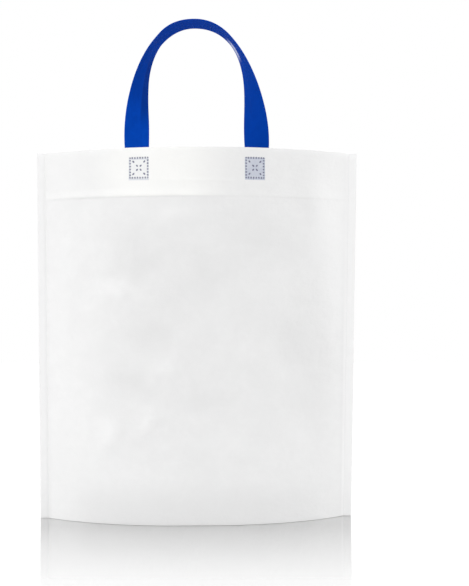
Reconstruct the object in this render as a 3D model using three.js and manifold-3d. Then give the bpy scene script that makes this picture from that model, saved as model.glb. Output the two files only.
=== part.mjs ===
// A white non-woven carrier bag with two blue loop handles, standing open on its folded base.
// Millimetres, +Z up. The front panel faces -Y, and the origin is on the floor under the middle.
// The body is one web of cloth, folded into front hem, front panel, base gusset, back panel and
// back hem, and welded along both sides. A place on it is given by `across`, the distance from
// the web's centre line when it lies flat, and by the height at which that place stands.

import * as THREE from "three";
import { mergeGeometries, mergeVertices } from "three/addons/utils/BufferGeometryUtils.js";
import Module from "manifold-3d";

const wasm = await Module();
wasm.setup();

// The web, cut and folded flat
const BAG_WIDTH = 380; // side edge to side edge
const BAG_HEIGHT = 420; // base fold to mouth
const GUSSET = 100; // front base fold to back base fold
const HEM = 54; // turned in along the mouth
const CLOTH = 0.4; // thickness of one layer
const LAYER_GAP = 0.2; // air between two folded layers

// The weld along each side
const SIDE_MARGIN = 9; // side edge to the middle of the weld
const SIDE_WELD = 2; // width in which all the layers are one
const SEAL_GROOVE = 1; // width of the line pressed into the outside
const SEAL_DEPTH = 0.12;

// How the bag stands open
const MOUTH_BULGE = 38; // middle of a panel in front of the side welds, at the mouth
const FLAT_BASE = 40; // straight middle stretch of each base fold
const BASE_TURN = 2.2; // degrees by which the base is turned under the mouth

// The two handles
const HANDLE_WIDTH = 28;
const HANDLE_THICKNESS = 1.2;
const HANDLE_SPREAD = 135; // middle of one leg to middle of the other, along the mouth
const HANDLE_TUCK = 40; // length inside the hem
const HANDLE_RISE = 139; // crown above the mouth
const HANDLE_LEAN = 2.5; // crown to the left of the middle
const LEFT_TWIST = 145; // length over which the left leg turns edge on
const RIGHT_TWIST = 126;
const TWIST_EASING = 1.7; // above 1, the turn slows towards its end
const LEG_STRAIGHTNESS = 0.66; // share of the rise over which a leg leans in
const CROWN_FLATNESS = 0.66; // share of the half spread over which the crown bends down
const OVER_MOUTH = 4; // radius at which the rear handle folds over the mouth
const CLEARANCE = 0.3; // handle to cloth

// The weld at each handle end: a rectangle of short marks with a cross inside
const WELD_WIDTH = 20.8;
const WELD_HEIGHT = 23;
const WELD_DROP = 23; // its middle below the mouth
const WELD_INSET = 2.3; // its middle from the middle of the leg, towards the other leg
const MARKS_PER_SIDE = 8;
const MARKS_PER_ARM = 2;
const MARK_LENGTH = 2;
const MARK_WIDTH = 1.2;
const MARK_DEPTH = 0.22;
const MARK_FAN = 8; // degrees by which a side's marks turn towards its corners

// How finely curves are stepped
const ARC_STEPS = 15;
const FLAT_STEPS = 3;
const PANEL_STEPS = 4;
const WELD_STEPS = 5;
const FOLD_STEPS = 3;
const TUCK_STEPS = 4;
const BEND_STEPS = 6;
const LOOP_STEPS = 28;
const HANDLE_COLUMNS = 3;

const PITCH = CLOTH + LAYER_GAP; // middle of one folded layer to the middle of the next
const FOLD = PITCH / 2; // radius of a fold, at the middle of the cloth
const BASE_FOLD = FOLD + CLOTH / 2; // centre of the base folds above the floor
const MOUTH_FOLD = BAG_HEIGHT - BASE_FOLD; // centre of the folds at the mouth
const SEAM = BAG_WIDTH / 2 - SIDE_MARGIN;
const PANEL_LAYER = 1.5 * PITCH; // where each layer lies in the stack that the side welds hold
const HEM_LAYER = 0.5 * PITCH;
const HANDLE_LAYER = HEM_LAYER - CLOTH / 2 - CLEARANCE - HANDLE_THICKNESS / 2;
const FRONT = -1;
const BACK = 1;
const X = new THREE.Vector3(1, 0, 0);
const Y = new THREE.Vector3(0, 1, 0);
const Z = new THREE.Vector3(0, 0, 1);

const { clamp, degToRad, lerp } = THREE.MathUtils;

// The values from one end to the other in equal steps, without the first.
function steps(from, to, count) {
  return Array.from({ length: count }, (_, i) => lerp(from, to, (i + 1) / count));
}

// The angle of an arc of this length that rises this far from its tangent.
function arcAngle(length, rise) {
  const share = rise / length;
  let angle = 2.1 * share;
  for (let i = 0; i < 8; i += 1) {
    angle -= (1 - Math.cos(angle) - share * angle) / (Math.sin(angle) - share);
  }
  return angle;
}

// A panel seen from above: straight in the middle, an arc on to each weld, then the flat margin.
function planOf(straight, bulgeMost) {
  const arc = SEAM - straight / 2;
  const radius = arc / arcAngle(arc, bulgeMost);
  return (across) => {
    const beyond = Math.abs(across) - straight / 2;
    const turn = clamp(beyond, 0, arc) / radius;
    const inner = straight / 2 + Math.min(beyond, 0);
    const x = inner + radius * Math.sin(turn) + Math.max(beyond - arc, 0);
    return { x: Math.sign(across) * x, bulge: bulgeMost - radius * (1 - Math.cos(turn)) };
  };
}

const basePlan = planOf(FLAT_BASE, GUSSET / 2);
const mouthPlan = planOf(0, MOUTH_BULGE);

// Between base and mouth the panel runs in straight lines.
function planAt(across, height) {
  const base = basePlan(across);
  const mouth = mouthPlan(across);
  const share = clamp((height - BASE_FOLD) / (MOUTH_FOLD - BASE_FOLD), 0, 1);
  return { x: lerp(base.x, mouth.x, share), bulge: lerp(base.bulge, mouth.bulge, share) };
}

// A point of one of the two walls, at a layer's place in the stack.
function onWall(side, across, height, layer) {
  const plan = planAt(across, height);
  return new THREE.Vector3(plan.x, side * (plan.bulge + layer), height);
}

// The base is turned a little under the mouth, and all that lies on the bag follows.
function turned(point) {
  const turn = degToRad(BASE_TURN) * Math.max(0, 1 - point.z / BAG_HEIGHT);
  return point.clone().applyAxisAngle(Z, turn);
}

// A solid of even thickness about a grid of points, given as rows of equal length.
function thicken(grid, thickness) {
  const rows = grid.map((row) => row.map(turned));
  const last = rows.length - 1;
  const end = rows[0].length - 1;
  const normalAt = (i, j) => {
    const along = rows[Math.min(i + 1, last)][j].clone().sub(rows[Math.max(i - 1, 0)][j]);
    const over = rows[i][Math.min(j + 1, end)].clone().sub(rows[i][Math.max(j - 1, 0)]);
    return along.cross(over).normalize();
  };
  const faceAt = (offset) =>
    rows.flatMap((row, i) =>
      row.flatMap((point, j) => point.clone().addScaledVector(normalAt(i, j), offset).toArray()),
    );
  const positions = [...faceAt(thickness / 2), ...faceAt(-thickness / 2)];
  const upper = (i, j) => i * (end + 1) + j;
  const lower = (i, j) => rows.length * (end + 1) + upper(i, j);
  const index = [];
  const quad = (a, b, c, d) => index.push(a, b, c, a, c, d);
  for (let i = 0; i < last; i += 1) {
    for (let j = 0; j < end; j += 1) {
      quad(upper(i, j), upper(i + 1, j), upper(i + 1, j + 1), upper(i, j + 1));
      quad(lower(i, j), lower(i, j + 1), lower(i + 1, j + 1), lower(i + 1, j));
    }
    quad(upper(i, 0), lower(i, 0), lower(i + 1, 0), upper(i + 1, 0));
    quad(upper(i, end), upper(i + 1, end), lower(i + 1, end), lower(i, end));
  }
  for (let j = 0; j < end; j += 1) {
    quad(upper(0, j), upper(0, j + 1), lower(0, j + 1), lower(0, j));
    quad(upper(last, j), lower(last, j), lower(last, j + 1), upper(last, j + 1));
  }
  const geometry = new THREE.BufferGeometry();
  geometry.setAttribute("position", new THREE.Float32BufferAttribute(positions, 3));
  geometry.setIndex(index);
  return geometry;
}

function toSolid(geometry) {
  const bare = geometry.clone();
  bare.deleteAttribute("normal");
  bare.deleteAttribute("uv");
  const merged = mergeVertices(bare, 1e-4);
  return new wasm.Manifold(
    new wasm.Mesh({
      numProp: 3,
      vertProperties: new Float32Array(merged.attributes.position.array),
      triVerts: new Uint32Array(merged.index.array),
    }),
  );
}

function toGeometry(solid) {
  const mesh = solid.getMesh();
  const geometry = new THREE.BufferGeometry();
  geometry.setAttribute("position", new THREE.BufferAttribute(mesh.vertProperties, 3));
  geometry.setIndex(new THREE.BufferAttribute(mesh.triVerts, 1));
  geometry.computeVertexNormals();
  return geometry;
}

// The front half of the web's section at one place across it: hem, mouth fold, panel, base fold
// and half of the gusset. Each point is [distance inside the front, height].
function halfSection(across) {
  const bulgeAt = (height) => planAt(across, height).bulge;
  const points = [[bulgeAt(BAG_HEIGHT - HEM) + HEM_LAYER, BAG_HEIGHT - HEM]];
  for (const turn of [0, ...steps(0, Math.PI, FOLD_STEPS)]) {
    const out = bulgeAt(MOUTH_FOLD) + PITCH - FOLD * Math.cos(turn);
    points.push([out, MOUTH_FOLD + FOLD * Math.sin(turn)]);
  }
  for (const height of steps(MOUTH_FOLD, BASE_FOLD, PANEL_STEPS)) {
    points.push([bulgeAt(height) + PANEL_LAYER, height]);
  }
  // The gusset lies flat where the bag is fully open, and stands upright at the side welds.
  const slope = Math.acos(clamp(bulgeAt(0) / (GUSSET / 2), 0, 1));
  for (const turn of steps(0, Math.PI / 2 + slope, FOLD_STEPS)) {
    points.push([bulgeAt(0) + PITCH + FOLD * Math.cos(turn), BASE_FOLD - FOLD * Math.sin(turn)]);
  }
  const [footOut, footHeight] = points.at(-1);
  const halfGusset = GUSSET / 2 + FOLD;
  const run = footOut - FOLD;
  const crease = footHeight + Math.sqrt(Math.max(0, halfGusset ** 2 - run ** 2));
  const bend = Math.max(slope, 1e-3);
  const spread = FOLD / Math.sin(bend);
  for (const turn of [bend, bend / 3]) {
    points.push([spread * Math.sin(turn), crease + spread * (Math.cos(turn) - Math.cos(bend))]);
  }
  return points;
}

function webRows() {
  const right = [...steps(FLAT_BASE / 2, SEAM, ARC_STEPS), BAG_WIDTH / 2];
  const left = right.map((across) => -across).reverse();
  const middle = [-FLAT_BASE / 2, ...steps(-FLAT_BASE / 2, FLAT_BASE / 2, FLAT_STEPS)];
  return [...left, ...middle, ...right].map((across) => {
    const half = halfSection(across);
    const wall = (side) =>
      half.map(([out, height]) => new THREE.Vector3(planAt(across, height).x, side * out, height));
    return [...wall(FRONT), ...wall(BACK).reverse()];
  });
}

// A slab along one side weld, at a place in the stack.
function sideSlab(edge, width, out, thickness) {
  const bottom = BASE_FOLD + CLOTH;
  const heights = [bottom, ...steps(bottom, MOUTH_FOLD - CLOTH, WELD_STEPS)];
  const rows = [SEAM - width / 2, SEAM + width / 2].map((across) =>
    heights.map((height) => new THREE.Vector3(edge * planAt(across, height).x, out, height)),
  );
  return thicken(edge > 0 ? rows : rows.reverse(), thickness);
}

// The welds' places: one for each end of each handle.
const handleWelds = [FRONT, BACK].flatMap((side) =>
  [-1, 1].map((edge) => ({ side, across: edge * (HANDLE_SPREAD / 2 - WELD_INSET) })),
);

// Inside a handle's weld the panel and the hem are one.
function weldPatch({ side, across }) {
  const height = BAG_HEIGHT - WELD_DROP;
  const acrossSteps = steps(across - WELD_WIDTH / 2, across + WELD_WIDTH / 2, 3);
  const rows = [across - WELD_WIDTH / 2, ...acrossSteps].map((place) =>
    [height - WELD_HEIGHT / 2, height + WELD_HEIGHT / 2].map((level) =>
      onWall(side, place, level, PITCH),
    ),
  );
  return thicken(rows, PITCH);
}

// The marks of one weld, each as [place across, place up, direction of its length].
function markLayout() {
  const marks = [];
  const halfWidth = WELD_WIDTH / 2;
  const halfHeight = WELD_HEIGHT / 2;
  const corner = Math.atan2(halfHeight, halfWidth);
  for (const place of [-1, 1]) {
    for (const share of steps(-1, 1, MARKS_PER_SIDE - 1).slice(0, -1)) {
      const fan = place * share * degToRad(MARK_FAN);
      marks.push([share * halfWidth, place * halfHeight, Math.PI / 2 - fan]);
      marks.push([place * halfWidth, share * halfHeight, fan]);
    }
    for (const slant of [corner, -corner]) {
      marks.push([place * halfWidth, place * Math.sign(slant) * halfHeight, slant]);
      for (let i = 0; i < MARKS_PER_ARM; i += 1) {
        const share = (place * (i + 0.5)) / (MARKS_PER_ARM + 0.5);
        marks.push([share * halfWidth, share * Math.sign(slant) * halfHeight, slant]);
      }
    }
  }
  return marks;
}

function weldMarks({ side, across }) {
  return markLayout().map(([right, up, direction]) => {
    const level = BAG_HEIGHT - WELD_DROP + up;
    const at = (a, h) =>
      turned(onWall(side, across + right + a, level + h, PANEL_LAYER + CLOTH / 2));
    const sideways = at(1, 0).sub(at(-1, 0)).normalize();
    const normal = sideways.clone().cross(at(0, 1).sub(at(0, -1))).normalize();
    const length = sideways.clone().applyAxisAngle(normal, direction);
    const width = normal.clone().cross(length);
    const place = new THREE.Matrix4().makeBasis(length, width, normal).setPosition(at(0, 0));
    return new THREE.BoxGeometry(MARK_LENGTH, MARK_WIDTH, 2 * MARK_DEPTH).applyMatrix4(place);
  });
}

function bagBody() {
  let body = toSolid(thicken(webRows(), CLOTH));
  const grooves = [];
  for (const edge of [-1, 1]) {
    body = body.add(toSolid(sideSlab(edge, SIDE_WELD, 0, 2 * PANEL_LAYER)));
    for (const side of [FRONT, BACK]) {
      grooves.push(sideSlab(edge, SEAL_GROOVE, side * (PANEL_LAYER + CLOTH / 2), 2 * SEAL_DEPTH));
    }
  }
  for (const weld of handleWelds) {
    body = body.add(toSolid(weldPatch(weld)));
  }
  body = body.subtract(toSolid(mergeGeometries(grooves)));
  const marks = handleWelds.flatMap(weldMarks);
  return toGeometry(body.subtract(toSolid(mergeGeometries(marks))));
}

// Each half of a handle is built on the left, from its end to the middle of the crown, and the
// right half is then mirrored. A row crosses the strap from its outer edge to its inner edge.
const strapPlaces = [-1, ...steps(-1, 1, HANDLE_COLUMNS)].map((share) => (share * HANDLE_WIDTH) / 2);

// The end inside the hem lies along the cloth.
function tuckedRows(side) {
  const bottom = BAG_HEIGHT - HANDLE_TUCK;
  return [bottom, ...steps(bottom, BAG_HEIGHT, TUCK_STEPS)].map((height) =>
    strapPlaces.map((place) => onWall(side, place - HANDLE_SPREAD / 2, height, HANDLE_LAYER)),
  );
}

// The row's direction across the strap.
function overOf(row) {
  return row.at(-1).clone().sub(row[0]).normalize();
}

// The strap goes over the edge of the mouth and points down on the outside.
function overMouthRows(lastRow) {
  const outwards = Z.clone().cross(overOf(lastRow));
  return steps(0, Math.PI, BEND_STEPS).map((turn) =>
    lastRow.map((point) =>
      point
        .clone()
        .addScaledVector(outwards, OVER_MOUTH * (1 - Math.cos(turn)))
        .addScaledVector(Z, OVER_MOUTH * Math.sin(turn)),
    ),
  );
}

// From the top of a leg to the crown. The strap turns edge on along the leg, so that in the crown
// it bends only across its thickness. `pushOut` moves its middle out of the plane of the loop.
function loopRows(lastRow, reach, twist, pushOut) {
  const start = lastRow[0].clone().lerp(lastRow.at(-1), 0.5);
  const crown = new THREE.Vector3(0, start.y, start.z + reach);
  const curve = new THREE.CubicBezierCurve3(
    start,
    start.clone().addScaledVector(Z, reach * LEG_STRAIGHTNESS),
    crown.clone().addScaledVector(X, start.x * CROWN_FLATNESS),
    crown,
  );
  const first = overOf(lastRow);
  const firstTurn = Math.atan2(first.y, first.x);
  return steps(0, 1, LOOP_STEPS).map((share) => {
    const twisted = Math.min(1, (share * curve.getLength()) / twist);
    const turn = lerp(firstTurn, Math.PI / 2, 1 - (1 - twisted) ** TWIST_EASING);
    const inwards = curve.getTangentAt(share).cross(Y).multiplyScalar(-Math.sign(reach));
    const over = inwards.multiplyScalar(Math.cos(turn)).addScaledVector(Y, Math.sin(turn));
    const shift = pushOut(share, Math.sin(turn) - Math.sin(firstTurn));
    const middle = curve.getPointAt(share).addScaledVector(Y, shift);
    return strapPlaces.map((place) => middle.clone().addScaledVector(over, place));
  });
}

// The whole strap, from a function that gives the rows of a half with this length of twist.
function bothHalves(halfWith) {
  const mirror = ({ x, y, z }) => new THREE.Vector3(-x, y, z);
  const right = halfWith(RIGHT_TWIST).slice(0, -1);
  return [...halfWith(LEFT_TWIST), ...right.map((row) => row.map(mirror)).reverse()];
}

// The front handle stands up in a loop that leans a little to the left.
function frontHandle() {
  const tucked = tuckedRows(FRONT);
  const upright = (twist) => loopRows(tucked.at(-1), HANDLE_RISE, twist, () => 0);
  const rows = bothHalves((twist) => [...tucked, ...upright(twist)]);
  for (const point of rows.flat()) {
    point.x -= (HANDLE_LEAN * Math.max(0, point.z - BAG_HEIGHT)) / HANDLE_RISE;
  }
  return thicken(rows, HANDLE_THICKNESS);
}

// The rear handle is folded over the mouth and hangs outside, its crown resting on the back.
function rearHandle() {
  const tucked = tuckedRows(BACK);
  const over = overMouthRows(tucked.at(-1));
  const drop = HANDLE_RISE - Math.PI * OVER_MOUTH;
  const rest = onWall(BACK, 0, BAG_HEIGHT - drop, PANEL_LAYER + CLOTH / 2 + CLEARANCE).y;
  const lastRow = over.at(-1);
  const settle = rest - lastRow[0].y;
  const pushOut = (share, edgeOn) =>
    Math.sin((share * Math.PI) / 2) * settle + (edgeOn * HANDLE_WIDTH) / 2;
  const hanging = (twist) => loopRows(lastRow, -drop, twist, pushOut);
  const rows = bothHalves((twist) => [...tucked, ...over, ...hanging(twist)]);
  return thicken(rows, HANDLE_THICKNESS);
}

function named(name, geometry, color, roughness) {
  const material = new THREE.MeshStandardMaterial({ color, roughness, metalness: 0 });
  const mesh = new THREE.Mesh(geometry, material);
  mesh.name = name;
  return mesh;
}

const bag = new THREE.Group();
bag.add(named("bag_body", bagBody(), "#f2f4f6", 0.85));
bag.add(named("front_handle", frontHandle(), "#063eaf", 0.7));
bag.add(named("rear_handle", rearHandle(), "#063eaf", 0.7));

export default bag;
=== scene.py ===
import math
from functools import partial

import bpy
import numpy as np
from mathutils import Matrix, Vector, noise


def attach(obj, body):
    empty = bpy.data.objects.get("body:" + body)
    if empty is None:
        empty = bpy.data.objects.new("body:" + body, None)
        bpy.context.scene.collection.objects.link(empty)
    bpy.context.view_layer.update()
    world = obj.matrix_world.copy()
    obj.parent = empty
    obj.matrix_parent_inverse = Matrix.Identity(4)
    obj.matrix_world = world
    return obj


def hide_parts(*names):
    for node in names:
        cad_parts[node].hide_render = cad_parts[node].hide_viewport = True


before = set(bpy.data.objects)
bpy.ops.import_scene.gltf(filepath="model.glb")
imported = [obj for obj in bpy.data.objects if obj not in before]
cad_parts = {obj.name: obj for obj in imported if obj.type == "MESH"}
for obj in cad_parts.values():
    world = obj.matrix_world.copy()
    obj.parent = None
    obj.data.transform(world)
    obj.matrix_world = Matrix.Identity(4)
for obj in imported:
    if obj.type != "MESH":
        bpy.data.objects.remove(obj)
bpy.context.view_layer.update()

# A white non-woven carrier bag with blue loop handles. Metres, +Z up, the front panel faces -Y.
# The body is one web of cloth. A place on it is given by `across`, its distance from the web's
# centre line, and by its height, or by `along`, its distance along the web from the gusset's
# middle, which is positive on the front.
FRONT, BACK = -1, 1
LEFT, RIGHT = -1, 1

# ---- The web of the body ----
BAG_WIDTH = 0.380
BAG_HEIGHT = 0.420
GUSSET = 0.100
HEM = 0.054
CLOTH = 0.0004
LAYER_GAP = 0.0002
SIDE_MARGIN = 0.009
MOUTH_BULGE = 0.038
FLAT_BASE = 0.040
BASE_TURN = math.radians(2.2)

PITCH = CLOTH + LAYER_GAP
FOLD = PITCH / 2
BASE_FOLD = FOLD + CLOTH / 2
MOUTH_FOLD = BAG_HEIGHT - BASE_FOLD
SEAM = BAG_WIDTH / 2 - SIDE_MARGIN
PANEL_LAYER = 1.5 * PITCH
HEM_LAYER = 0.5 * PITCH
HEM_EDGE = BAG_HEIGHT - HEM
BASE_ALONG = GUSSET / 2
MOUTH_ALONG = BASE_ALONG + BAG_HEIGHT

# ---- The relief of the cloth ----
# The side weld: half its width, how much it squeezes the layers, and how soon they stand apart
SEAL_HALF = 0.0009
SEAL_SQUEEZE = 0.05
SEAL_SOFT = 0.0009

# The ridge of the hem's edge behind the panel, and its fall above and below the edge. On the
# front it is stronger on the left, and it fades over a stretch across the panel.
RIDGE_RISE = 0.00062
RIDGE_ABOVE = 0.009
RIDGE_BELOW = 0.0018
RIDGE_AT_LEFT, RIDGE_AT_RIGHT, RIDGE_AT_BACK = 1.35, 0.3, 0.8
RIDGE_FADE_START, RIDGE_FADE_LENGTH = -0.08, 0.14
RIDGE_HELD = 0.01

# The low ridge that runs across the hem from weld to weld
LINK_RISE = 0.00022
LINK_DROP = 0.0375
LINK_HALF = 0.0024
LINK_REACH = 0.055
LINK_FADE = 0.02

# The billows of the panels, and how far the base, the side welds and the doubled hem hold them
BILLOW = 0.0013
SMALL_BILLOW = 0.0005
HELD_BY_BASE = 0.07
HELD_BY_SEAM = 0.055
HELD_BY_HEM = 0.75
HEM_HOLD_BELOW, HEM_HOLD_SOFT = 0.02, 0.05

# The puckers beside each side weld
PUCKER_RISE = 0.00035
PUCKER_PLACE = 0.007
PUCKER_HALF = 0.006
PUCKER_START = 0.03

# Soft dents of the front panel: across, height, half width, half height, depth
FRONT_DENTS = (
    (-0.066, 0.286, 0.026, 0.028, -0.0024),
    (-0.057, 0.206, 0.024, 0.026, -0.0022),
    (-0.070, 0.150, 0.028, 0.022, -0.0020),
    (0.006, 0.276, 0.030, 0.020, -0.0016),
    (-0.020, 0.238, 0.028, 0.020, -0.0013),
    (0.004, 0.130, 0.028, 0.018, -0.0016),
    (0.103, 0.199, 0.020, 0.032, -0.0010),
    (0.080, 0.315, 0.040, 0.034, -0.0011),
    (-0.085, 0.249, 0.013, 0.013, 0.0016),
    (-0.041, 0.176, 0.024, 0.009, 0.0016),
    (-0.101, 0.107, 0.018, 0.011, 0.0019),
    (-0.052, 0.110, 0.015, 0.011, 0.0018),
    (0.053, 0.193, 0.018, 0.016, 0.0010),
    (0.042, 0.077, 0.026, 0.013, 0.0012),
    (-0.028, 0.345, 0.034, 0.020, 0.0018),
    (0.112, 0.240, 0.022, 0.110, -0.0008),
    (0.138, 0.165, 0.027, 0.095, -0.0019),
    (0.150, 0.352, 0.028, 0.075, 0.0018),
)
DEEPEST_DENT = 0.0030
DENT_STRAY = 0.022
STRAY_PER_METRE = 19
FINE_STRAY_PER_METRE = 55
FINE_STRAY_SHARE = 0.3

# ---- The handles ----
HANDLE_WIDTH = 0.028
HANDLE_HALF = HANDLE_WIDTH / 2
HANDLE_THICKNESS = 0.0012
HANDLE_SPREAD = 0.135
HANDLE_TUCK = 0.040
HANDLE_RISE = 0.139
HANDLE_LEAN = 0.0025
OVER_MOUTH = 0.004
CLEARANCE = 0.0003
HANDLE_LAYER = HEM_LAYER - CLOTH / 2 - CLEARANCE - HANDLE_THICKNESS / 2

# The length over which a leg turns to its shoulder, how soon it does, and how far it turns
LEFT_TWIST = (0.125, 1.27, math.radians(82))
RIGHT_TWIST = (0.125, 1.47, math.radians(90))
CROWN_TURN = math.radians(87.5)
CROWN_START = 0.78
CROWN_CUP = 0.0006
LEG_STRAIGHTNESS = 0.66
CROWN_FLATNESS = 0.66

# The soft crease along each leg: how far it bends, its place across, and its start and end as
# shares of the leg's curve, each with the share over which it grows or fades
LEFT_CREASE = 0.16
RIGHT_CREASE = 0.05
CREASE_PLACE = 0.0035
CREASE_SOFT = 0.0012
CREASE_START, CREASE_GROWTH = 0.05, 0.25
CREASE_END, CREASE_FADE = 0.45, 0.30

# The strap's rounded edges, and the edge of its folded flap
EDGE_ROUNDING = 0.0009
FLAP_PLACE = 0.0036
FLAP_SOFT = 0.001
FLAP_THICKNESS = 0.00022

TUCK_STEPS = 16
OVER_STEPS = 16
LOOP_STEPS = 84
CURVE_STEPS = 1200

# ---- The welds ----
WELD_WIDTH = 0.0208
WELD_HEIGHT = 0.023
WELD_DROP = 0.023
WELD_INSET = 0.0023
WELD_MIDDLE = HANDLE_SPREAD / 2 - WELD_INSET
WELD_LEVEL = BAG_HEIGHT - WELD_DROP
WELD_PRESS = 0.00014
WELD_SOFT = 0.0012

MARKS_PER_SIDE = 8
MARKS_PER_ARM = 2
MARK_SIZE = (0.0029, 0.0018, 0.00012)
MARK_UNEVENNESS = 0.08
MARK_FAN = math.radians(8)
BAR_SIZE = (0.0020, 0.0010, 0.0001)
BAR_PITCH = 0.0030
FIRST_BAR, LAST_BAR = 0.004, BAG_HEIGHT - 0.003


# ---- Shape of the open bag ----
def smooth(share):
    share = min(max(share, 0.0), 1.0)
    return share * share * (3 - 2 * share)


def lerp(a, b, share):
    return a + (b - a) * share


def bell(distance):
    return math.exp(-distance * distance)


def arc_angle(length, rise):
    """The angle of an arc of this length that rises this far from its tangent."""
    share = rise / length
    angle = 2.1 * share
    for _ in range(8):
        angle -= (1 - math.cos(angle) - share * angle) / (math.sin(angle) - share)
    return angle


def plan_of(straight, bulge_most):
    """A panel seen from above: a straight middle, an arc to each weld, and the flat margin."""
    arc = SEAM - straight / 2
    radius = arc / arc_angle(arc, bulge_most)

    def plan(across):
        beyond = abs(across) - straight / 2
        turn = min(max(beyond, 0.0), arc) / radius
        x = straight / 2 + min(beyond, 0.0) + radius * math.sin(turn) + max(beyond - arc, 0.0)
        return math.copysign(x, across), bulge_most - radius * (1 - math.cos(turn))

    return plan


base_plan = plan_of(FLAT_BASE, GUSSET / 2)
mouth_plan = plan_of(0.0, MOUTH_BULGE)


def plan_at(across, height):
    """How far to the right, and how far outwards, the panel stands at this place."""
    share = min(max((height - BASE_FOLD) / (MOUTH_FOLD - BASE_FOLD), 0.0), 1.0)
    base_x, base_bulge = base_plan(across)
    mouth_x, mouth_bulge = mouth_plan(across)
    return lerp(base_x, mouth_x, share), lerp(base_bulge, mouth_bulge, share)


def turned(x, y, z):
    """The base is turned a little under the mouth."""
    turn = BASE_TURN * max(0.0, 1 - z / BAG_HEIGHT)
    c, s = math.cos(turn), math.sin(turn)
    return x * c - y * s, x * s + y * c, z


def in_weld(across, height):
    """1 inside a handle's weld, 0 outside it."""
    off_side = abs(abs(across) - WELD_MIDDLE) - WELD_WIDTH / 2
    off_level = abs(height - WELD_LEVEL) - WELD_HEIGHT / 2
    return smooth(0.5 - max(off_side, off_level) / WELD_SOFT)


def stray(across, height, layer):
    """Soft unevenness, another one for each layer."""
    coarse, fine = STRAY_PER_METRE, FINE_STRAY_PER_METRE
    uneven = noise.noise(Vector((across * coarse, layer, height * coarse)))
    detail = noise.noise(Vector((across * fine, layer + 0.5, height * fine)))
    return uneven + FINE_STRAY_SHARE * detail


def dents(across, height):
    """The front panel's dents, inwards where negative. They stray, so that none is a plain oval."""
    stray_across, stray_up = stray(across, height, 1.7), stray(across, height, 8.3)
    across, height = across + DENT_STRAY * stray_across, height + DENT_STRAY * stray_up
    return sum(
        depth * bell((across - place_x) / wide) * bell((height - place_z) / tall)
        for place_x, place_z, wide, tall, depth in FRONT_DENTS
    )


def drape(side, across, height):
    """The soft unevenness that panel and hem share, outwards."""
    from_seam = SEAM - abs(across)
    held = smooth(height / HELD_BY_BASE) * smooth(from_seam / HELD_BY_SEAM)
    held *= 1 - HELD_BY_HEM * smooth((height - HEM_EDGE + HEM_HOLD_BELOW) / HEM_HOLD_SOFT)
    place = Vector((across * 13, side * 4.7, height * 7.5))
    out = BILLOW * noise.noise(place) + SMALL_BILLOW * noise.noise(place * 2.6)
    if side == FRONT:
        out += dents(across, height)
    pucker = PUCKER_RISE * bell((from_seam - PUCKER_PLACE) / PUCKER_HALF)
    pucker *= smooth(height / PUCKER_START)
    ripple = noise.noise(Vector((side * 3.3 + across * 20, 0.0, height * 95)))
    return held * out + pucker * ripple


def panel_relief(side, across, height):
    """What shows on the outer panel alone: the hem's edge behind it and the pressed welds."""
    above = height - HEM_EDGE
    ridge = smooth(1 - above / RIDGE_ABOVE) if above > 0 else smooth(1 + above / RIDGE_BELOW)
    faded = smooth((across - RIDGE_FADE_START) / RIDGE_FADE_LENGTH)
    strength = lerp(RIDGE_AT_LEFT, RIDGE_AT_RIGHT, faded) if side == FRONT else RIDGE_AT_BACK
    strength *= 0.9 + 0.4 * noise.noise(Vector((across * 24, side * 2.0, 0.3)))
    strength *= smooth((SEAM - abs(across)) / RIDGE_HELD)
    link = bell((height - (BAG_HEIGHT - LINK_DROP)) / LINK_HALF)
    link *= smooth((LINK_REACH - abs(across)) / LINK_FADE)
    press = in_weld(across, height)
    return RIDGE_RISE * ridge * strength + LINK_RISE * link - WELD_PRESS * press


def squeeze(across):
    """The side weld presses the layers together; they stand their full pitch apart elsewhere."""
    off = abs(abs(across) - SEAM) - SEAL_HALF
    return 1 - SEAL_SQUEEZE * smooth(1 - max(off, 0.0) / SEAL_SOFT)


def panel_point(side, across, height, layer):
    x, bulge = plan_at(across, height)
    out = bulge + layer + drape(side, across, height)
    return Vector(turned(x, side * out, height))


# ---- The web as a grid of points ----
NEAR_DOUBLE = 0.00025


def gathered(*groups):
    """All the values in order, without near doubles."""
    values = []
    for value in sorted(v for group in groups for v in group):
        if not values or value - values[-1] > NEAR_DOUBLE:
            values.append(float(value))
    return values


def both_ways(values):
    return [-v for v in values] + list(values)


def weld_lines(middle, size):
    """Grid lines at, just inside and just outside both edges of a weld."""
    return [
        middle + edge * (size / 2 + off) for edge in (-1, 1) for off in (-0.0010, 0.0, 0.0010)
    ]


COLUMNS = gathered(
    np.arange(-0.1750, 0.1751, 0.005),
    both_ways(weld_lines(WELD_MIDDLE, WELD_WIDTH)),
    both_ways([SEAM + off for off in both_ways([0.0, 0.0009, 0.0014, 0.0020, 0.0032])]),
    both_ways([0.187, BAG_WIDTH / 2]),
)
PANEL_HEIGHTS = gathered(
    [BASE_FOLD, 0.0022, 0.0045, MOUTH_FOLD],
    np.arange(0.008, 0.4171, 0.005),
    np.arange(HEM_EDGE - 0.0030, HEM_EDGE + 0.0105, 0.0009),
    np.arange(BAG_HEIGHT - 0.0420, BAG_HEIGHT - 0.0330, 0.0011),
    weld_lines(WELD_LEVEL, WELD_HEIGHT),
)
HEM_HEIGHTS = gathered(np.arange(HEM_EDGE, MOUTH_FOLD - 0.002, 0.006), [MOUTH_FOLD])
MOUTH_STEPS = 7
BASE_STEPS = 6
GUSSET_STEPS = 13
LEAST_BEND = 1e-3


def hem_points(side, across, layer):
    points = []
    for height in HEM_HEIGHTS:
        x, bulge = plan_at(across, height)
        points.append((x, bulge + layer + drape(side, across, height), height))
    return points


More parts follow.
